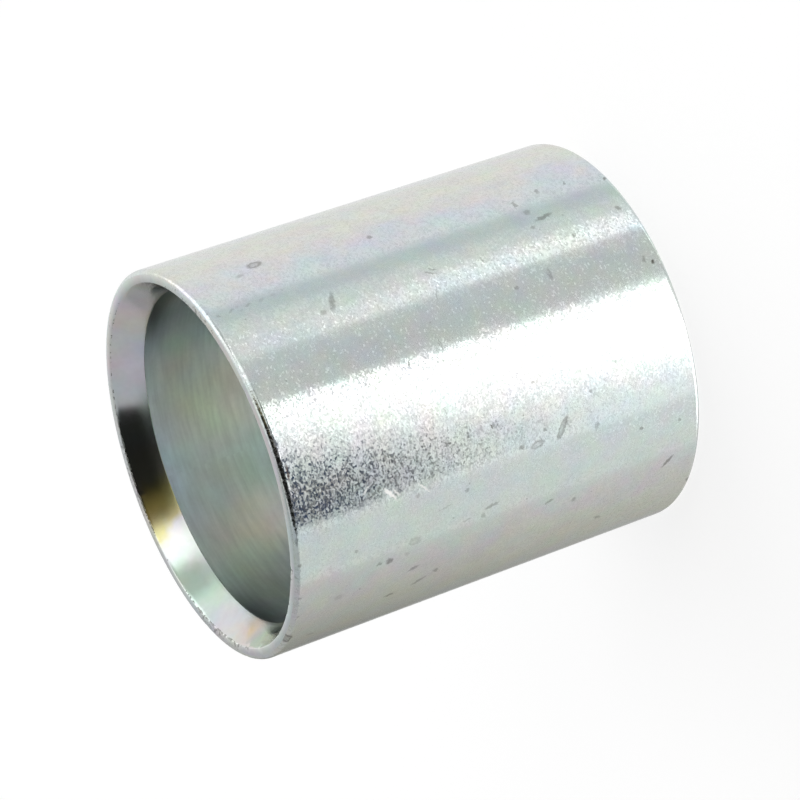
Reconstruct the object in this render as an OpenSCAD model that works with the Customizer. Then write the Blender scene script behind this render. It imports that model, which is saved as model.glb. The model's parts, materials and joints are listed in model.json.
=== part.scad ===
// Crimp hose ferrule: a turned steel sleeve that a press closes round a hose and its tail.
// It stands on its fitting end, with its axis along Z and the hose mouth on top.

/* [Sleeve] */
// Diameter of the bore that slips over the hose
bore_d = 36; // [24:0.1:60]
// Thickness of the wall round the bore
wall = 3; // [1.6:0.1:8]
// Length from the fitting end to the mouth
length = 48; // [20:0.5:100]

/* [Mouth] */
// Width of the flat rim that the lead-in leaves on the end face
rim_w = 0.8; // [0.2:0.1:2.2]
// Depth of the conical lead-in along the axis
lead_in_depth = 3.2; // [0.5:0.1:10]

/* [Locking lip] */
// Height of the lip above the bore, to catch in the groove of the hose tail
lip_h = 3; // [1.6:0.1:8]
// Thickness of the lip along the axis
lip_t = 4; // [1.5:0.1:10]
// Chamfer on both edges of the lip
lip_chamfer = 0.5; // [0.1:0.1:1.8]

/* [Edges] */
// Radius of the outer edge at both ends
edge_r = 0.5; // [0.1:0.1:2]
// Radius of the corner where the bore meets the lip
corner_r = 0.8; // [0.2:0.1:2.2]

/* [Hidden] */
bore_r = bore_d / 2;
outside_r = bore_r + wall;
mouth_r = outside_r - edge_r - rim_w;
lip_r = bore_r - lip_h;
// How far a corner piece reaches past the faces that it blends
overlap = 0.2;
$fn = 128;

// What a square corner has more than a round one, with the centre of the round at the origin
module corner_piece(r) {
    difference() {
        square(r + overlap);
        circle(r);
    }
}

// Wall and lip with sharp edges, as radius and height
module sharp_section() {
    polygon([
        [lip_r + lip_chamfer, 0],
        [outside_r, 0],
        [outside_r, length],
        [mouth_r, length],
        [bore_r, length - lead_in_depth],
        [bore_r, lip_t],
        [lip_r + lip_chamfer, lip_t],
        [lip_r, lip_t - lip_chamfer],
        [lip_r, lip_chamfer]
    ]);
}

// The section with its outer edges rounded and the corner at the lip filled
module section() {
    difference() {
        sharp_section();
        translate([outside_r - edge_r, length - edge_r])
            corner_piece(edge_r);
        translate([outside_r - edge_r, edge_r])
            mirror([0, 1])
                corner_piece(edge_r);
    }
    translate([bore_r - corner_r, lip_t + corner_r])
        mirror([0, 1])
            corner_piece(corner_r);
}

module ferrule() {
    color("#c6cacd")
        rotate_extrude()
            section();
}

ferrule();
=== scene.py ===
import json
import math
import random

import bmesh
import bpy
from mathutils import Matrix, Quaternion, Vector
from mathutils.kdtree import KDTree


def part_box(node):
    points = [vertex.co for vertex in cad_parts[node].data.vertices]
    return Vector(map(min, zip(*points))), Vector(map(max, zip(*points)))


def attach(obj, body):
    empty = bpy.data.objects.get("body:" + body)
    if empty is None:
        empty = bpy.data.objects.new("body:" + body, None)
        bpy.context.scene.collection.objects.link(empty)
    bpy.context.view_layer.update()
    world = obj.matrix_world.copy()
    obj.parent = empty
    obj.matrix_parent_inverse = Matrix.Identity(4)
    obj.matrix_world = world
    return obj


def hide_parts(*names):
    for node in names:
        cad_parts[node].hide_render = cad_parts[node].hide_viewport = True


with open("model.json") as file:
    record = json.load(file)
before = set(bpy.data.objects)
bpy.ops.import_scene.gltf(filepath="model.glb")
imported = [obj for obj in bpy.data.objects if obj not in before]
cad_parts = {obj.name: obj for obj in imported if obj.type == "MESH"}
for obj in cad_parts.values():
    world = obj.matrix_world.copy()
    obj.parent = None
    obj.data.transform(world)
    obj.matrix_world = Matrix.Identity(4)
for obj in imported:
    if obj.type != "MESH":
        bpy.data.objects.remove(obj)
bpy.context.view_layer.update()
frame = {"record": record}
scene = bpy.context.scene
scene.view_settings.view_transform = "Standard"
mm = 0.001

# the sleeve's sizes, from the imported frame
mounts = {mount["name"]: mount for mount in frame["record"]["mounts"]}


def mountSize(name, key):
    return mounts[name]["dims"][key] * mm


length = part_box("ferrule")[1].z
outsideR = mountSize("crimp_outside", "r_mm")
boreR = mountSize("hose_bore", "r_mm")
lipR = mountSize("lip_bore", "r_mm")
edgeR = (length - mountSize("crimp_outside", "length_mm")) / 2
boreMiddle = mounts["hose_bore"]["pos_m"][2]
boreTop = boreMiddle + mountSize("hose_bore", "length_mm") / 2
boreFoot = boreMiddle - mountSize("hose_bore", "length_mm") / 2
lipT = 2 * mounts["lip_bore"]["pos_m"][2]
lipChamfer = (lipT - mountSize("lip_bore", "length_mm")) / 2
cornerR = boreFoot - lipT
print("sleeve", round(outsideR / mm, 2), round(boreR / mm, 2), round(length / mm, 2), "mm")

# the photograph's viewpoint, rolled so that the mouth lies to the left
viewpoint = {
    "elevation": math.radians(24.17),
    "distance": 0.3769,
    "aside": -0.36 * mm,  # the picture's middle lies this far from the axis
    "roll": math.radians(-109.1),
    "lens": 161.1,
    "sensor": 36.0,
    "picture": 800,  # pixels each way
}


def makeCamera():
    rise = viewpoint["elevation"]
    middle = Vector((0, 0, length / 2))
    camera = bpy.data.objects.new("camera", bpy.data.cameras.new("camera"))
    scene.collection.objects.link(camera)
    camera.data.lens = viewpoint["lens"]
    camera.data.sensor_width = viewpoint["sensor"]
    camera.location = middle + viewpoint["distance"] * Vector((0, -math.cos(rise), math.sin(rise)))
    look = middle + Vector((viewpoint["aside"], 0, 0)) - camera.location
    camera.rotation_mode = "QUATERNION"
    camera.rotation_quaternion = look.to_track_quat("-Z", "Y") @ Quaternion((0, 0, 1), viewpoint["roll"])
    scene.camera = camera
    return camera


camera = makeCamera()


# where a pixel of the photograph falls on the outside, as distance round the sleeve and height
def onOutside(x, y):
    half = viewpoint["picture"] / 2
    pixelsPerUnit = viewpoint["picture"] * viewpoint["lens"] / viewpoint["sensor"]
    ray = Vector(((x - half) / pixelsPerUnit, (half - y) / pixelsPerUnit, -1))
    ray.rotate(camera.rotation_quaternion)
    eye = camera.location
    a = ray.x ** 2 + ray.y ** 2
    b = eye.x * ray.x + eye.y * ray.y
    c = eye.x ** 2 + eye.y ** 2 - outsideR ** 2
    spot = eye + ray * ((-b - math.sqrt(max(b * b - a * c, 0))) / a)
    return math.atan2(spot.x, -spot.y) * outsideR, spot.z


print("camera set")

# marks on the outside, each by the pixels of its two ends, its width in mm and its strength
marks = {
    "depth": 0.02 * mm,
    "margin": 0.3 * mm,  # a dent reaches this far past its mark
    "soft": (1.8, 0.2),  # where a mark begins and is full, as squares of the distance from its middle
    "strength": 1.15,
    "ringSoft": (0.06, 0.8),  # the same for the light middle of a ring
    "ringMiddle": 0.35,
    "dark": [
        (236, 278, 244, 274, 0.45, 0.2), (369, 236, 370, 238, 0.6, 0.4), (331, 293, 333, 311, 0.6, 0.4),
        (321, 312, 326, 313, 0.6, 0.3), (424, 272, 437, 274, 0.2, 0.35), (428, 269, 437, 270, 0.2, 0.35),
        (436, 288, 437, 300, 0.15, 0.3), (512, 202, 517, 207, 0.45, 0.35), (535, 189, 538, 194, 0.45, 0.3),
        (524, 211, 530, 214, 0.75, 0.3), (536, 221, 551, 213, 0.45, 0.45), (531, 229, 535, 226, 0.45, 0.3),
        (563, 181, 564, 185, 0.2, 0.35), (615, 206, 622, 210, 0.45, 0.4), (573, 234, 574, 236, 0.45, 0.4),
        (652, 261, 654, 262, 0.45, 0.8), (643, 256, 645, 263, 0.45, 0.35), (480, 257, 484, 263, 0.2, 0.35),
        (547, 268, 552, 280, 0.38, 0.3), (516, 287, 517, 289, 0.45, 0.3), (597, 421, 597, 429, 0.6, 0.3),
        (521, 446, 523, 449, 0.6, 0.4), (662, 467, 673, 455, 0.45, 0.5), (490, 424, 493, 429, 0.15, 0.7),
        (545, 504, 553, 499, 0.38, 0.35), (572, 500, 575, 499, 0.6, 0.3), (594, 517, 600, 517, 0.45, 0.35),
        (485, 509, 499, 502, 0.38, 0.35), (482, 514, 485, 517, 0.45, 0.25), (679, 419, 681, 420, 0.38, 0.3),
        (405, 556, 409, 552, 0.6, 0.15), (388, 563, 391, 559, 0.75, 0.5), (377, 565, 382, 563, 0.45, 0.35),
        (408, 571, 419, 565, 0.45, 0.35), (433, 571, 438, 569, 0.6, 0.35), (411, 585, 426, 576, 0.45, 0.35),
        (384, 597, 394, 593, 0.38, 0.45), (335, 598, 342, 597, 0.75, 0.15), (356, 551, 358, 552, 0.45, 0.3),
        (306, 635, 314, 633, 0.45, 0.2), (417, 495, 419, 497, 0.45, 0.25), (438, 511, 453, 504, 0.15, 0.2),
        (466, 492, 469, 488, 0.45, 0.3), (463, 522, 471, 518, 0.2, 0.2), (408, 361, 411, 368, 0.2, 0.4),
        (437, 342, 444, 350, 0.2, 0.4), (300, 565, 300, 568, 0.35, 0.4), (297, 578, 297, 581, 0.35, 0.3),
        (300, 598, 300, 600, 0.3, 0.35), (298, 616, 298, 618, 0.35, 0.3), (604, 177, 605, 180, 0.45, 0.5),
        (687, 478, 687, 481, 0.45, 0.5), (545, 428, 545, 430, 0.45, 0.4), (641, 427, 642, 429, 0.45, 0.4),
        (591, 390, 591, 392, 0.38, 0.4), (436, 337, 452, 358, 0.12, 0.3), (217, 317, 221, 316, 0.35, 0.25),
        (229, 313, 233, 309, 0.3, 0.2), (240, 311, 243, 310, 0.25, 0.12), (236, 307, 238, 307, 0.3, 0.12),
        (245, 307, 251, 303, 0.3, 0.2), (259, 302, 263, 298, 0.35, 0.15), (272, 296, 273, 293, 0.3, 0.12),
        (280, 290, 285, 289, 0.3, 0.12), (611, 361, 617, 362, 0.38, 0.25), (532, 381, 533, 383, 0.38, 0.35),
        (443, 408, 448, 415, 0.15, 0.3),
    ],
    "rings": [
        (248, 268, 260, 262, 1.1, 0.65), (558, 439, 567, 416, 0.7, 0.6), (531, 448, 544, 441, 0.8, 0.45),
        (409, 543, 421, 539, 0.9, 0.3), (283, 645, 291, 636, 0.7, 0.8),
    ],
    "rust": [
        (286, 466, 289, 480, 0.3, 0.6),
    ],
    # bare scratches, lighter as bare zinc and as a painted glint
    "bareAndGlint": [
        (384, 489, 397, 499, 0.35, 0.9), (392, 488, 400, 496, 0.2, 0.8), (418, 483, 430, 492, 0.2, 0.7),
        (363, 495, 370, 484, 0.2, 0.6), (479, 330, 492, 331, 0.2, 0.6),
    ],
}


# centre, half length, half width, tilt and strength of a mark on the unrolled outside
def laidOut(mark):
    x1, y1, x2, y2, width, strength = mark
    u1, v1 = onOutside(x1, y1)
    u2, v2 = onOutside(x2, y2)
    half = max(math.hypot(u2 - u1, v2 - v1) / 2, width * mm / 2)
    return (u1 + u2) / 2, (v1 + v2) / 2, half, width * mm / 2, math.atan2(v2 - v1, u2 - u1), strength


# the sleeve itself
sleeve = {
    "steps": 520,  # faces round the sleeve
    "wallRows": 100,
    "boreRows": 16,
    "leadInRows": 10,
    "rimWidth": 0.8 * mm,
    "edgeSegments": 5,
    "toolEdge": 0.06 * mm,  # edges that only the plating has softened
    "toolSegments": 2,
    "holdRow": 0.05 * mm,  # how close a wall's first and last rows come to its rounded edges
    "longPart": 0.5,  # an edge longer than this part of a wall's height runs up the wall
    "nicks": 100,
    "nickReach": (0.14 * mm, 0.45 * mm),
    "nickDepth": (0.015 * mm, 0.05 * mm),
    "nickInset": 0.15 * edgeR,  # from the rim's outline
    "nickPush": (0.5, 0.8),  # sideways and down
    "seed": 11,
}
mouthR = outsideR - edgeR - sleeve["rimWidth"]
near = 0.004 * mm


def radiusOf(vert):
    return math.hypot(vert.co.x, vert.co.y)


# the edges of the circle of that radius and height
def circleEdges(bm, radius, height):
    on = {v for v in bm.verts if abs(radiusOf(v) - radius) < near and abs(v.co.z - height) < near}
    return [e for e in bm.edges if e.verts[0] in on and e.verts[1] in on]


def roundOff(bm, radius, height, offset, segments):
    bmesh.ops.bevel(
        bm, geom=circleEdges(bm, radius, height), offset=offset, offset_type="OFFSET", segments=segments,
        profile=0.5, affect="EDGES", material=-1,
    )


# rows across the long faces between two circles
def addRows(bm, reach, rows, fits):
    long = [e for e in bm.edges if e.calc_length() > reach and all(map(fits, e.verts))]
    bmesh.ops.subdivide_edges(bm, edges=long, cuts=rows - 1, use_grid_fill=True)


# a wall's first and last rows move up to its rounded edges, which keeps the wall straight beside them
def holdEdges(bm, radius, foot, top, rows):
    row = (top - foot) / rows
    for v in bm.verts:
        if abs(radiusOf(v) - radius) < near:
            for end, towards in ((foot, 1), (top, -1)):
                if abs(v.co.z - end - towards * row) < near:
                    v.co.z = end + towards * sleeve["holdRow"]


def turnSleeve():
    section = [
        (lipR + lipChamfer, 0), (outsideR, 0), (outsideR, length), (mouthR, length), (boreR, boreTop),
        (boreR, lipT), (lipR + lipChamfer, lipT), (lipR, lipT - lipChamfer), (lipR, lipChamfer),
    ]
    bm = bmesh.new()
    verts = [bm.verts.new((r, 0, z)) for r, z in section]
    edges = [bm.edges.new(pair) for pair in zip(verts, verts[1:] + verts[:1])]
    bmesh.ops.spin(
        bm, geom=verts + edges, cent=(0, 0, 0), axis=(0, 0, 1), angle=math.tau, steps=sleeve["steps"],
        use_merge=True,
    )
    bmesh.ops.remove_doubles(bm, verts=bm.verts, dist=near / 4)
    bmesh.ops.recalc_face_normals(bm, faces=bm.faces)
    roundOff(bm, outsideR, length, edgeR, sleeve["edgeSegments"])
    roundOff(bm, outsideR, 0, edgeR, sleeve["edgeSegments"])
    roundOff(bm, boreR, lipT, cornerR, sleeve["edgeSegments"])
    for radius, height in section[3:5] + section[6:] + section[:1]:
        roundOff(bm, radius, height, sleeve["toolEdge"], sleeve["toolSegments"])
    longPart = sleeve["longPart"]
    addRows(bm, longPart * length, sleeve["wallRows"], lambda v: abs(radiusOf(v) - outsideR) < near)
    holdEdges(bm, outsideR, edgeR, length - edgeR, sleeve["wallRows"])
    addRows(bm, longPart * length, sleeve["boreRows"], lambda v: abs(radiusOf(v) - boreR) < near)
    holdEdges(bm, boreR, boreFoot, boreTop - sleeve["toolEdge"], sleeve["boreRows"])
    addRows(
        bm, longPart * (length - boreTop), sleeve["leadInRows"],
        lambda v: v.co.z > boreTop - near and radiusOf(v) < mouthR + near,
    )
    return bm


# small knocks on both edges of the rim
def nickRim(bm):
    dice = random.Random(sleeve["seed"])
    tree = KDTree(len(bm.verts))
    for i, v in enumerate(bm.verts):
        tree.insert(v.co, i)
    tree.balance()
    bm.verts.ensure_lookup_table()
    sideways, down = sleeve["nickPush"]
    for _ in range(sleeve["nicks"]):
        turn = dice.uniform(0, math.tau)
        reach = dice.uniform(*sleeve["nickReach"])
        depth = dice.uniform(*sleeve["nickDepth"])
        radius = dice.choice((outsideR - sleeve["nickInset"], mouthR))
        spot = Vector((radius * math.cos(turn), radius * math.sin(turn), length - sleeve["nickInset"]))
        for co, i, gap in tree.find_range(spot, reach):
            push = depth * (1 - (gap / reach) ** 2)
            outward = Vector((co.x, co.y, 0)).normalized()
            side = -sideways if radius > mouthR else sideways
            bm.verts[i].co += push * (outward * side + Vector((0, 0, -down)))


# shallow dents under the marks
def dentOutside(bm):
    wall = [v for v in bm.verts if radiusOf(v) > outsideR - near]
    laid = [(math.atan2(v.co.x, -v.co.y) * outsideR, v.co.z, v) for v in wall]
    for mark in marks["dark"] + marks["rings"] + marks["bareAndGlint"]:
        u, v, half, halfWidth, tilt, strength = laidOut(mark)
        reachLong, reachWide = half + marks["margin"], halfWidth + marks["margin"]
        for uVert, vVert, vert in laid:
            du, dv = uVert - u, vVert - v
            if abs(du) > reachLong + reachWide or abs(dv) > reachLong + reachWide:
                continue
            along = (du * math.cos(tilt) + dv * math.sin(tilt)) / reachLong
            across = (dv * math.cos(tilt) - du * math.sin(tilt)) / reachWide
            inside = 1 - along ** 2 - across ** 2
            if inside > 0:
                outward = Vector((vert.co.x, vert.co.y, 0)).normalized()
                vert.co -= outward * marks["depth"] * strength * inside ** 2


zones = ["outside", "turned", "bore"]


def zoneOf(face):
    middle = face.calc_center_median()
    radius = math.hypot(middle.x, middle.y)
    if radius > outsideR - edgeR:
        return zones.index("outside")
    if radius < boreR + near and boreFoot < middle.z < boreTop - sleeve["toolEdge"]:
        return zones.index("bore")
    return zones.index("turned")


def makeSleeve():
    bm = turnSleeve()
    print("turned", len(bm.faces), "faces")
    for face in bm.faces:
        face.smooth = True
        face.material_index = zoneOf(face)
    nickRim(bm)
    dentOutside(bm)
    mesh = bpy.data.meshes.new("zincSleeve")
    bm.to_mesh(mesh)
    bm.free()
    piece = bpy.data.objects.new("zincSleeve", mesh)
    scene.collection.objects.link(piece)
    even = piece.modifiers.new("even", "WEIGHTED_NORMAL")
    even.keep_sharp = False
    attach(piece, "root")
    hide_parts("ferrule")
    return piece


# finishes
def addNode(tree, kind, sockets=None, **settings):
    made = tree.nodes.new(kind)
    for name, value in settings.items():
        setattr(made, name, value)
    for key, value in (sockets or {}).items():
        if isinstance(value, bpy.types.NodeSocket):
            tree.links.new(value, made.inputs[key])
        else:
            made.inputs[key].default_value = value
    return made


def calc(tree, operation, *values):
    return addNode(tree, "ShaderNodeMath", dict(enumerate(values)), operation=operation).outputs[0]


def vectorCalc(tree, operation, *values):
    made = addNode(tree, "ShaderNodeVectorMath", dict(enumerate(values)), operation=operation)
    return made.outputs["Value" if operation == "DOT_PRODUCT" else "Vector"]


# a colour made lighter or darker
def scaled(tree, colour, level):
    made = addNode(tree, "ShaderNodeVectorMath", {0: colour, "Scale": level}, operation="SCALE")
    return made.outputs["Vector"]


def smoothStep(tree, value, start, end, low=0.0, high=1.0):
    made = addNode(
        tree, "ShaderNodeMapRange",
        {"Value": value, "From Min": start, "From Max": end, "To Min": low, "To Max": high},
        interpolation_type="SMOOTHSTEP",
    )
    return made.outputs["Result"]


def mixColour(tree, factor, first, second, blend="MIX"):
    made = addNode(tree, "ShaderNodeMix", data_type="RGBA", blend_type=blend)
    for socket, value in ((made.inputs[0], factor), (made.inputs[6], first), (made.inputs[7], second)):
        if isinstance(value, bpy.types.NodeSocket):
            tree.links.new(value, socket)
        else:
            socket.default_value = value
    return made.outputs[2]


def noise(tree, place, scale, detail=2.0, roughness=0.5):
    return addNode(
        tree, "ShaderNodeTexNoise",
        {"Vector": place, "Scale": scale, "Detail": detail, "Roughness": roughness},
    ).outputs["Fac"]


# noise that differs in red, green and blue
def colourNoise(tree, place, scale):
    made = addNode(tree, "ShaderNodeTexNoise", {"Vector": place, "Scale": scale, "Detail": 2.0})
    return made.outputs["Color"]


# Object coordinates, the unrolled surface (distance round, height), the angle in radians and the height
def surfacePlace(tree):
    place = addNode(tree, "ShaderNodeTexCoord").outputs["Object"]
    parts = addNode(tree, "ShaderNodeSeparateXYZ", {0: place}).outputs
    turn = calc(tree, "ARCTAN2", parts["X"], calc(tree, "MULTIPLY", parts["Y"], -1.0))
    around = calc(tree, "MULTIPLY", turn, outsideR)
    sheet = addNode(tree, "ShaderNodeCombineXYZ", {"X": around, "Y": parts["Z"], "Z": 1.0}).outputs[0]
    return place, sheet, turn, parts["Z"]


# colours of the thin passivate film, and where they lie round the sleeve in degrees; pale is a painted
# light level and shade a painted shade level
passivate = {
    "yellow": (1.00, 0.98, 0.905), "olive": (1.00, 0.975, 0.86), "tan": (1.00, 0.955, 0.87),
    "gold": (1.00, 0.92, 0.50), "pink": (1.00, 0.95, 0.955), "rose": (1.00, 0.875, 0.865),
    "mauve": (0.955, 0.94, 1.00), "pale": (1.13, 1.11, 1.09), "shade": (0.80, 0.81, 0.80),
    "lilac": (0.95, 0.94, 1.00), "blue": (0.90, 0.95, 1.00), "cyan": (0.925, 0.985, 1.00),
    "green": (0.945, 1.00, 0.965), "leaf": (0.865, 1.00, 0.875), "white": (1, 1, 1),
    "outside": [
        (-180, "green"), (-160, "cyan"), (-143, "lilac"), (-126, "pink"), (-108, "yellow"), (-84, "white"),
        (-70, "olive"), (-60, "yellow"), (-51, "pink"), (-40, "green"), (-26, "cyan"), (-12, "white"),
        (4, "white"), (14, "green"), (20, "cyan"), (26, "white"), (33, "green"), (39, "cyan"), (44, "blue"),
        (50, "lilac"), (56, "pink"), (66, "yellow"), (84, "white"), (110, "green"), (130, "cyan"),
        (148, "lilac"), (164, "pink"), (180, "green"),
    ],
    "turned": [
        (-180, "olive"), (-174, "gold"), (-166, "gold"), (-159, "white"), (-149, "leaf"), (-138, "leaf"),
        (-126, "cyan"), (-119, "mauve"), (-110, "rose"), (-98, "tan"), (-60, "leaf"), (-30, "blue"),
        (0, "rose"), (30, "yellow"), (60, "leaf"), (90, "tan"), (112, "rose"), (126, "mauve"),
        (142, "mauve"), (154, "cyan"), (168, "white"), (180, "olive"),
    ],
    # in the bore, shade on the far wall is painted shade and pale is a painted light place
    "bore": [
        (-180, "shade"), (-166, "cyan"), (-150, "pink"), (-134, "cyan"), (-110, "green"), (-90, "white"),
        (-60, "green"), (-20, "white"), (20, "pink"), (60, "yellow"), (84, "white"), (106, "green"),
        (124, "white"), (142, "pale"), (160, "white"), (180, "shade"),
    ],
    "patch": 190.0,
    "wander": 0.11,  # part of a full turn by which a patch strays
}


def filmColour(tree, place, turn, zone):
    patchy = calc(tree, "SUBTRACT", noise(tree, place, passivate["patch"], detail=3.0, roughness=0.6), 0.5)
    along = calc(tree, "MULTIPLY_ADD", turn, 1 / math.tau, 0.5)
    film = calc(tree, "FRACT", calc(tree, "MULTIPLY_ADD", patchy, passivate["wander"], along))
    ramp = addNode(tree, "ShaderNodeValToRGB", {0: film})
    stops = passivate[zone]
    while len(ramp.color_ramp.elements) < len(stops):
        ramp.color_ramp.elements.new(1.0)
    for element, (angle, colour) in zip(ramp.color_ramp.elements, stops):
        element.position = (angle + 180) / 360
        element.color = (*passivate[colour], 1)
    return ramp.outputs["Color"]


def newFinish(name):
    material = bpy.data.materials.new(name)
    material.use_nodes = True
    tree = material.node_tree
    shader = tree.nodes["Principled BSDF"]
    shader.inputs["Metallic"].default_value = 1.0
    return material, tree, shader


def addBump(tree, height, distance, under=None):
    sockets = {"Height": height, "Distance": distance}
    if under:
        sockets["Normal"] = under
    return addNode(tree, "ShaderNodeBump", sockets).outputs[0]


# drawn tube under bright zinc, with a grain of small facets
outsideFinish = {
    "zinc": (0.675, 0.707, 0.697, 1),
    "grime": (0.11, 0.105, 0.09, 1),
    "rust": (0.20, 0.10, 0.055, 1),
    # bare scratches: bare zinc, lighter also as a painted glint
    "bareZincAndGlint": (0.87, 0.87, 0.85, 1),
    "roughness": 0.09,
    "markRoughness": 0.45,
    "flakes": (5000.0, 7000.0),  # in a metre, round and along the sleeve
    "flakeTilt": 0.026,
    "flakeRoughness": 0.31,  # of the dullest flake
    "flakeShare": (0.4, 1.0),  # from the last smooth flake to the first of the dullest
    "flakeDepth": -0.15,  # the dullest flake is this much darker than the smoothest
    "paintedGlintFlakes": (0.10, 0.03),  # painted glint: below the first a smooth flake is lighter, below the second fully so
    "glintGain": 0.26,
    "glintTurn": math.radians(19),  # the middle of the part that has painted glint flakes
    "glintReach": (math.radians(17), math.radians(8.5)),  # from there, where they begin and are all seen
    "shake": 3200.0,
    "shakeReach": 0.5 * mm,  # by which outlines stray, from one side to the other
    "swell": 420.0,
    "swellHeight": 0.006 * mm,
    "blotch": 400.0,
    "blotchDepth": 0.2,
    "specks": 380.0,
    "speckSize": 0.055,  # part of a cell
    "speckCore": 0.4,  # part of a speck that is fully dark
    "speckStrength": 0.35,
    "burr": 1100.0,
    "burrHeight": 0.04 * mm,
    "burrEdge": (length - 1.6 * edgeR, length - 0.8 * edgeR),  # heights where the burr begins and is full
}


# crystals of the plating: how dull each is, and the surface's normal tilted a little in each
def flakes(tree, sheet):
    close = vectorCalc(tree, "MULTIPLY", sheet, (*outsideFinish["flakes"], 0))
    cells = addNode(tree, "ShaderNodeTexVoronoi", {"Vector": close, "Scale": 1.0}, voronoi_dimensions="2D")
    centred = vectorCalc(tree, "SUBTRACT", cells.outputs["Color"], (0.5, 0.5, 0.5))
    tilt = outsideFinish["flakeTilt"]
    normal = addNode(tree, "ShaderNodeNewGeometry").outputs["Normal"]
    tilted = vectorCalc(tree, "MULTIPLY_ADD", centred, (tilt, tilt, tilt), normal)
    dull = addNode(tree, "ShaderNodeSeparateColor", {0: cells.outputs["Color"]}).outputs["Red"]
    return dull, vectorCalc(tree, "NORMALIZE", tilted)


# painted glints: a few flakes are lighter in one part of the outside
def paintedGlintFlakes(tree, dull, turn):
    off = calc(tree, "ABSOLUTE", calc(tree, "SUBTRACT", turn, outsideFinish["glintTurn"]))
    inside = smoothStep(tree, off, *outsideFinish["glintReach"], 0.0, outsideFinish["glintGain"])
    return calc(tree, "MULTIPLY_ADD", smoothStep(tree, dull, *outsideFinish["paintedGlintFlakes"]), inside, 1.0)


# a colour with a lighter and darker grain, and soft blotches of colour
def mottled(tree, place, colour, grain, depth, finish):
    level = calc(tree, "MULTIPLY_ADD", grain, depth, 1 - depth / 2)
    blotch = colourNoise(tree, place, finish["blotch"])
    change, rest = finish["blotchDepth"], 1 - finish["blotchDepth"] / 2
    tint = vectorCalc(tree, "MULTIPLY_ADD", blotch, (change, change, change), (rest, rest, rest))
    return scaled(tree, vectorCalc(tree, "MULTIPLY", colour, tint), level)


# square of the distance from a mark's middle, 1 at its outline
def markReach(tree, sheet, mark):
    u, v, half, halfWidth, tilt, _ = laidOut(mark)
    lean = Vector((math.cos(tilt), math.sin(tilt)))
    along, across = lean / half, lean.orthogonal() / halfWidth
    total = None
    for way in (along, across):
        row = (way.x, way.y, -way.dot((u, v)))  # the sheet's third value is 1
        off = vectorCalc(tree, "DOT_PRODUCT", sheet, row)
        if total is None:
            total = calc(tree, "MULTIPLY", off, off)
        else:
            total = calc(tree, "MULTIPLY_ADD", off, off, total)
    return total


def markMask(tree, sheet, group):
    total = None
    for mark in marks[group]:
        reach = markReach(tree, sheet, mark)
        shape = smoothStep(tree, reach, *marks["soft"], 0.0, min(marks["strength"] * mark[-1], 1.0))
        if group == "rings":
            rim = smoothStep(tree, reach, *marks["ringSoft"], marks["ringMiddle"], 1.0)
            shape = calc(tree, "MULTIPLY", shape, rim)
        total = shape if total is None else calc(tree, "MAXIMUM", total, shape)
    return total


# the unrolled surface, shaken so that marks get uneven outlines
def raggedSheet(tree, place, sheet):
    jitter = colourNoise(tree, place, outsideFinish["shake"])
    shake = vectorCalc(tree, "SUBTRACT", jitter, (0.5, 0.5, 0.5))
    reach = outsideFinish["shakeReach"]
    return vectorCalc(tree, "MULTIPLY_ADD", shake, (reach, reach, 0), sheet)


# tiny dark pits strewn all round
def speckMask(tree, place):
    cells = addNode(tree, "ShaderNodeTexVoronoi", {"Vector": place, "Scale": outsideFinish["specks"]})
    size = outsideFinish["speckSize"]
    core = outsideFinish["speckCore"] * size
    return smoothStep(tree, cells.outputs["Distance"], size, core, 0.0, outsideFinish["speckStrength"])


def makeOutside():
    material, tree, shader = newFinish("zincOutside")
    place, sheet, turn, height = surfacePlace(tree)
    ragged = raggedSheet(tree, place, sheet)
    dark = calc(tree, "MAXIMUM", markMask(tree, ragged, "dark"), markMask(tree, ragged, "rings"))
    dark = calc(tree, "MAXIMUM", dark, speckMask(tree, place))
    bareAndGlint = markMask(tree, ragged, "bareAndGlint")
    film = filmColour(tree, place, turn, "outside")
    colour = mixColour(tree, 1.0, outsideFinish["zinc"], film, "MULTIPLY")
    dull, flakeNormal = flakes(tree, ragged)
    colour = mottled(tree, place, colour, dull, outsideFinish["flakeDepth"], outsideFinish)
    # painted glints on some smooth flakes
    colour = scaled(tree, colour, paintedGlintFlakes(tree, dull, turn))
    colour = mixColour(tree, dark, colour, outsideFinish["grime"])
    # bare scratches: bare zinc with a painted glint
    colour = mixColour(tree, bareAndGlint, colour, outsideFinish["bareZincAndGlint"])
    colour = mixColour(tree, markMask(tree, ragged, "rust"), colour, outsideFinish["rust"])
    tree.links.new(colour, shader.inputs["Base Color"])
    smooth, coarse = outsideFinish["roughness"], outsideFinish["flakeRoughness"]
    rough = smoothStep(tree, dull, *outsideFinish["flakeShare"], smooth, coarse)
    marked = calc(tree, "MULTIPLY", calc(tree, "MAXIMUM", dark, bareAndGlint), outsideFinish["markRoughness"])
    rough = calc(tree, "MAXIMUM", rough, marked)
    tree.links.new(rough, shader.inputs["Roughness"])
    swell = noise(tree, place, outsideFinish["swell"])
    normal = addBump(tree, swell, outsideFinish["swellHeight"], flakeNormal)
    burr = noise(tree, place, outsideFinish["burr"], detail=3.0, roughness=0.6)
    atMouth = smoothStep(tree, height, *outsideFinish["burrEdge"])
    burr = calc(tree, "MULTIPLY", atMouth, calc(tree, "SUBTRACT", burr, 0.5))
    normal = addBump(tree, burr, outsideFinish["burrHeight"], normal)
    tree.links.new(normal, shader.inputs["Normal"])
    return material


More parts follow.
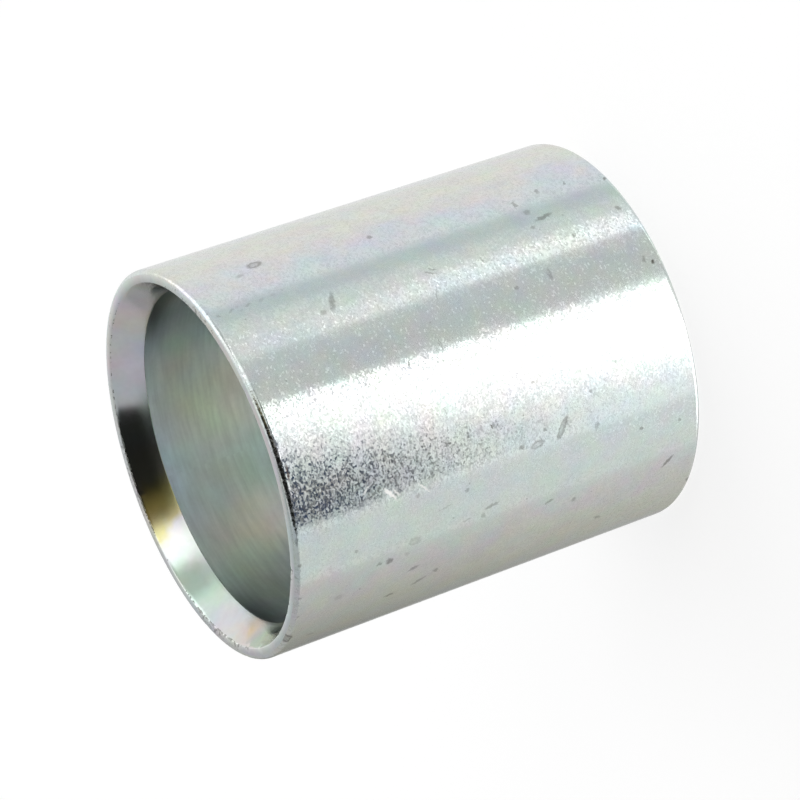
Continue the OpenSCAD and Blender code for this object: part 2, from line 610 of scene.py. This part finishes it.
# the turned lead-in, rim, lip and fitting end
turnedFinish = {
    "zinc": (0.71, 0.735, 0.725, 1),
    "torn": (0.16, 0.155, 0.14, 1),
    "rimFilm": 0.25,  # share of the film's colour on the flat rim
    "rimFilmDepth": 0.2 * mm,  # below the rim, where it has its full colour
    "deepFilm": 0.2,  # share on the lip and fitting end
    "grain": 1500.0,
    "grainDepth": 0.1,
    "blotch": 240.0,
    "blotchDepth": 0.34,
    "roughness": 0.145,
    "innerRoughness": 0.115,  # more than that towards the bore
    "innerReach": 1.5 * mm,
    "groove": 9000.0,
    "grooveAround": 60.0,
    "grooveHeight": 0.0007 * mm,
    "burr": 2500.0,
    "burrDepth": (0.42 * mm, 0.04 * mm),  # below the rim, where the ragged edge begins and is full
    "flatDepth": (0.001 * mm, 0.02 * mm),  # where the flat rim ends
    "flatLevel": 0.81,  # of the burr on the flat rim
    "wear": 120.0,
    "wearShare": 0.35,
    "wearTurns": [(-120, 26), (174, 28), (50, 30)],  # middle and reach of the worse parts, in degrees
    "wearLevel": (0.83, 1.04),  # elsewhere and there
    "tear": (0.60, 0.70),  # the level at which the edge begins to be torn, and is
    "tearShade": 0.6,
    "tearRoughness": 0.3,
    "tearHeight": 0.02 * mm,
}


# fine rings that a cutting tool leaves
def toolRings(tree, sheet, across, around):
    stretched = addNode(tree, "ShaderNodeMapping", {"Vector": sheet, "Scale": (around, across, across)})
    return noise(tree, stretched.outputs[0], 1.0)


# the rim is more ragged in places
def roughParts(tree, turn):
    total = turnedFinish["wearLevel"][0]
    for middle, reach in turnedFinish["wearTurns"]:
        off = calc(tree, "COSINE", calc(tree, "SUBTRACT", turn, math.radians(middle)))
        part = smoothStep(tree, off, math.cos(math.radians(reach)), 1.0, *turnedFinish["wearLevel"])
        total = calc(tree, "MAXIMUM", total, part)
    return total


# 0 to 1 where the rim's edges are torn
def tornEdge(tree, place, turn, height):
    begin, full = turnedFinish["burrDepth"]
    edge = smoothStep(tree, height, length - begin, length - full)
    begin, full = turnedFinish["flatDepth"]
    flat = smoothStep(tree, height, length - begin, length - full, turnedFinish["flatLevel"])
    edge = calc(tree, "MULTIPLY", edge, flat)
    burr = noise(tree, place, turnedFinish["burr"], roughness=0.6)
    wear = noise(tree, place, turnedFinish["wear"], detail=1.0)
    torn = calc(tree, "ADD", burr, calc(tree, "MULTIPLY", wear, turnedFinish["wearShare"]))
    torn = calc(tree, "MULTIPLY", torn, roughParts(tree, turn))
    return smoothStep(tree, calc(tree, "MULTIPLY", edge, torn), *turnedFinish["tear"])


def makeTurned():
    material, tree, shader = newFinish("zincTurned")
    place, sheet, turn, height = surfacePlace(tree)
    film = filmColour(tree, place, turn, "turned")
    rimEnd = length - turnedFinish["rimFilmDepth"]
    thick = smoothStep(tree, height, length, rimEnd, turnedFinish["rimFilm"], 1.0)
    deep = smoothStep(tree, height, boreFoot, boreTop, turnedFinish["deepFilm"], 1.0)
    colour = mixColour(tree, calc(tree, "MULTIPLY", thick, deep), turnedFinish["zinc"], film, "MULTIPLY")
    grain = noise(tree, place, turnedFinish["grain"])
    colour = mottled(tree, place, colour, grain, turnedFinish["grainDepth"], turnedFinish)
    torn = tornEdge(tree, place, turn, height)
    shade = calc(tree, "MULTIPLY", torn, turnedFinish["tearShade"])
    colour = mixColour(tree, shade, colour, turnedFinish["torn"])
    tree.links.new(colour, shader.inputs["Base Color"])
    smooth = turnedFinish["roughness"]
    innerEnd = boreTop + turnedFinish["innerReach"]
    rough = smoothStep(tree, height, innerEnd, boreTop, smooth, smooth + turnedFinish["innerRoughness"])
    rough = calc(tree, "MULTIPLY_ADD", torn, turnedFinish["tearRoughness"], rough)
    tree.links.new(rough, shader.inputs["Roughness"])
    rings = toolRings(tree, sheet, turnedFinish["groove"], turnedFinish["grooveAround"])
    grooves = addBump(tree, rings, turnedFinish["grooveHeight"])
    tree.links.new(addBump(tree, torn, turnedFinish["tearHeight"], grooves), shader.inputs["Normal"])
    return material


# the bored inside, duller and greener
boreFinish = {
    "zinc": (0.803, 0.835, 0.808, 1),
    "mouthZinc": (0.77, 0.85, 0.89, 1),  # bluer and a little lighter just below the lead-in
    "mouthDepth": (3.6 * mm, 0.3 * mm),  # below the lead-in, where that begins and is full
    "paintedLightZinc": (0.98, 0.96, 0.91, 1),  # painted light: a pale place deeper in
    "paleTurn": math.radians(-154),
    "paleHeight": 35.5 * mm,
    "paleReach": (math.radians(17), 7 * mm),  # round the bore and up and down
    "paleShare": 0.8,
    "filmShare": 0.7,
    "roughness": 0.31,
    "mouthRoughness": 0.03,  # more than that near the mouth
    "endReach": (0.68, 0.95),  # sine of the turn at which the mouth's two sides begin to get painted shade, and are fully shaded
    "endShade": 0.75,
    "groove": 2400.0,
    "grooveAround": 90.0,
    "grooveHeight": 0.0012 * mm,
    "streak": 1700.0,
    "streakAround": 180.0,
    "streakDepth": 0.4,
    "streakRoughness": 0.08,
    "grain": 2600.0,
    "grainDepth": 0.1,
    "blotch": 110.0,
    "blotchDepth": 0.5,
}


# painted light: how pale the bore is, most in the middle of its pale place
def paintedLightSpot(tree, turn, height):
    reachRound, reachUp = boreFinish["paleReach"]
    aside = calc(tree, "COSINE", calc(tree, "SUBTRACT", turn, boreFinish["paleTurn"]))
    above = calc(tree, "ABSOLUTE", calc(tree, "SUBTRACT", height, boreFinish["paleHeight"]))
    level = smoothStep(tree, above, reachUp, 0.0, 0.0, boreFinish["paleShare"])
    return calc(tree, "MULTIPLY", smoothStep(tree, aside, math.cos(reachRound), 1.0), level)


# painted shade: the two sides of the mouth are darker
def paintedMouthShade(tree, turn, atMouth):
    side = calc(tree, "ABSOLUTE", calc(tree, "SINE", turn))
    shade = smoothStep(tree, side, *boreFinish["endReach"], 0.0, boreFinish["endShade"])
    return calc(tree, "SUBTRACT", 1.0, calc(tree, "MULTIPLY", shade, atMouth))


def makeBore():
    material, tree, shader = newFinish("zincBore")
    place, sheet, turn, height = surfacePlace(tree)
    # the bore's film also carries painted shade on the far wall and painted light beside it
    film = filmColour(tree, place, turn, "bore")
    begin, full = boreFinish["mouthDepth"]
    atMouth = smoothStep(tree, height, boreTop - begin, boreTop - full)
    colour = mixColour(tree, atMouth, boreFinish["zinc"], boreFinish["mouthZinc"])
    # painted light: a pale place on the far wall
    colour = mixColour(tree, paintedLightSpot(tree, turn, height), colour, boreFinish["paintedLightZinc"])
    colour = mixColour(tree, boreFinish["filmShare"], colour, film, "MULTIPLY")
    grain = noise(tree, place, boreFinish["grain"])
    colour = mottled(tree, place, colour, grain, boreFinish["grainDepth"], boreFinish)
    rings = toolRings(tree, sheet, boreFinish["groove"], boreFinish["grooveAround"])
    streaks = toolRings(tree, sheet, boreFinish["streak"], boreFinish["streakAround"])
    change = boreFinish["streakDepth"]
    level = calc(tree, "MULTIPLY_ADD", streaks, change, 1 - change / 2)
    # painted shade on the mouth's two sides
    colour = scaled(tree, colour, calc(tree, "MULTIPLY", level, paintedMouthShade(tree, turn, atMouth)))
    tree.links.new(colour, shader.inputs["Base Color"])
    change = boreFinish["streakRoughness"]
    rough = calc(tree, "MULTIPLY_ADD", streaks, change, boreFinish["roughness"] - change / 2)
    rough = calc(tree, "MULTIPLY_ADD", atMouth, boreFinish["mouthRoughness"], rough)
    tree.links.new(rough, shader.inputs["Roughness"])
    tree.links.new(addBump(tree, rings, boreFinish["grooveHeight"]), shader.inputs["Normal"])
    return material


piece = makeSleeve()
for finish in (makeOutside(), makeTurned(), makeBore()):
    piece.data.materials.append(finish)
print("sleeve finished")

# white light tent, with cards by azimuth and elevation in degrees as seen from the sleeve
tent = {
    "white": (0.96, 0.96, 0.96, 1),
    "cards": {
        "limb": {"az": (50, 97), "soft": (12, 5), "el": (None, 0), "shade": (0.89, 0.89, 0.89)},
        "dimHalf": {"az": (95, 214), "soft": (8, 3), "shade": (0.80, 0.80, 0.79)},
        "dimSide": {"az": (101, 150), "soft": (6, 50), "shade": (0.23, 0.23, 0.215)},
        "dimHigh": {"az": (86, 220), "soft": (8, 3), "el": (0, 60), "shade": (0.52, 0.52, 0.54)},
        "farGlow": {"az": (101, 214), "soft": (8, 3), "el": (None, -27), "fade": (5, 5), "cover": 0.4,
                    "shade": (1.05, 1.05, 1.05)},
        "pale": {"az": (-29, -16), "soft": (3, 3), "el": (None, 0), "shade": (0.87, 0.88, 0.87)},
        "seam": {"az": (-17, -4), "soft": (3, 3), "el": (None, 0), "shade": (0.70, 0.73, 0.73)},
        "strip": {"az": (-42, -29), "soft": (1.5, 3), "el": (None, 0), "shade": (0.90, 0.91, 0.91)},
        "stripFar": {"az": (-42, -29), "soft": (1.5, 3), "el": (None, -26), "fade": (4, 4),
                     "shade": (1.5, 1.5, 1.5)},
        "greyCard": {"az": (-73, -42), "soft": (3, 1.5), "el": (None, 0), "shade": (0.705, 0.70, 0.70)},
        "lightWall": {"az": (-146, -74), "soft": (1.5, 2), "lean": (0, 0.83), "el": (None, 0),
                      "shade": (1.08, 1.08, 1.07)},
        "softbox": {"az": (-97, -74), "soft": (13, 2), "lean": (6, 0.83), "el": (None, -8),
                    "shade": (2.6, 2.6, 2.58)},
        "flagFoot": {"az": (-142.5, -128), "soft": (3.5, 6), "lean": (0, 7.2), "el": (-24.1, -16),
                     "fade": (1.1, 3), "shade": (0.055, 0.05, 0.045)},
        "footBlue": {"az": (-142.5, -128), "soft": (3.5, 6), "lean": (0, 7.2), "el": (-22.1, -16),
                     "fade": (0.7, 3), "shade": (0.03, 0.052, 0.11)},
        "flagMid": {"az": (-144, -62), "soft": (1.5, 8), "el": (-15, -2), "fade": (3, 6),
                    "shade": (0.022, 0.021, 0.018)},
        "flag": {"az": (-144, -108), "soft": (1.5, 7), "lean": (0, 0.72), "el": (-10, 84), "fade": (8, 6),
                 "shade": (0.013, 0.013, 0.012)},
        "flagEdge": {"az": (-124, -108), "soft": (6, 7), "lean": (0.72, 0.72), "el": (20, 66),
                     "fade": (8, 6), "shade": (0.17, 0.14, 0.065)},
        "overhead": {"az": (-16, 62), "soft": (6, 8), "el": (26, 62), "fade": (4, 8),
                     "shade": (1.6, 1.6, 1.6)},
        "topBox": {"az": (-56, -31), "soft": (6, 3), "el": (12, 60), "shade": (1.5, 1.5, 1.5)},
        "highGrey": {"az": (-28, -5), "soft": (4, 5), "el": (8, 50), "shade": (0.58, 0.59, 0.58)},
    },
    "level": -25.0,  # elevation at which a leaning edge has its azimuth
    "lean": (0, 0),  # these three for a card that gives none
    "fade": (8, 8),
    "el": (None, None),
}


# 0 to 1 across a soft edge, which the other way goes from 1 to 0
def softEdge(tree, value, edge, soft, way):
    made = addNode(
        tree, "ShaderNodeMath", {0: value, 1: way / (2 * soft), 2: 0.5 - way * edge / (2 * soft)},
        operation="MULTIPLY_ADD", use_clamp=True,
    )
    return made.outputs[0]


def lightTent():
    world = bpy.data.worlds.new("lightTent")
    scene.world = world
    world.use_nodes = True
    tree = world.node_tree
    parts = addNode(
        tree, "ShaderNodeSeparateXYZ", {0: addNode(tree, "ShaderNodeTexCoord").outputs["Generated"]},
    ).outputs
    azimuth = calc(tree, "DEGREES", calc(tree, "ARCTAN2", parts["Y"], parts["X"]))
    fullAzimuth = calc(tree, "WRAP", azimuth, 360.0, 0.0)
    elevation = calc(tree, "DEGREES", calc(tree, "ARCSINE", parts["Z"]))
    rise = calc(tree, "SUBTRACT", elevation, tent["level"])
    colour = tent["white"]
    for card in tent["cards"].values():
        cover = card.get("cover", 1.0)
        sideways = fullAzimuth if card["az"][1] > 180 else azimuth
        leans = card.get("lean", tent["lean"])
        for way, edge, soft, lean in zip((1, -1), card["az"], card["soft"], leans):
            place = calc(tree, "MULTIPLY_ADD", rise, -lean, sideways) if lean else sideways
            cover = calc(tree, "MULTIPLY", cover, softEdge(tree, place, edge, soft, way))
        heights, fades = card.get("el", tent["el"]), card.get("fade", tent["fade"])
        for way, edge, fade in zip((1, -1), heights, fades):
            if edge is not None:
                cover = calc(tree, "MULTIPLY", cover, softEdge(tree, elevation, edge, fade, way))
        colour = mixColour(tree, cover, colour, (*card["shade"], 1))
    seen = addNode(tree, "ShaderNodeLightPath").outputs["Is Camera Ray"]
    colour = mixColour(tree, seen, colour, (1, 1, 1, 1))
    tree.links.new(colour, tree.nodes["Background"].inputs["Color"])


# pale floor that keeps a soft shadow
ground = {"size": 6.0, "paint": (0.35, 0.35, 0.35, 1), "glow": 0.77}


def makeFloor():
    bm = bmesh.new()
    bmesh.ops.create_grid(bm, x_segments=1, y_segments=1, size=ground["size"] / 2)
    mesh = bpy.data.meshes.new("floor")
    bm.to_mesh(mesh)
    bm.free()
    floor = bpy.data.objects.new("floor", mesh)
    scene.collection.objects.link(floor)
    floor.visible_glossy = False
    floor.visible_shadow = False
    material = bpy.data.materials.new("paleFloor")
    material.use_nodes = True
    tree = material.node_tree
    paint = addNode(tree, "ShaderNodeBsdfDiffuse", {"Color": ground["paint"]})
    seen = addNode(tree, "ShaderNodeLightPath").outputs["Is Camera Ray"]
    glow = addNode(tree, "ShaderNodeEmission", {"Strength": calc(tree, "MULTIPLY", seen, ground["glow"])})
    both = addNode(tree, "ShaderNodeAddShader", {0: paint.outputs[0], 1: glow.outputs[0]})
    tree.links.new(both.outputs[0], tree.nodes["Material Output"].inputs["Surface"])
    mesh.materials.append(material)


lightTent()
makeFloor()
print("tent and floor set")
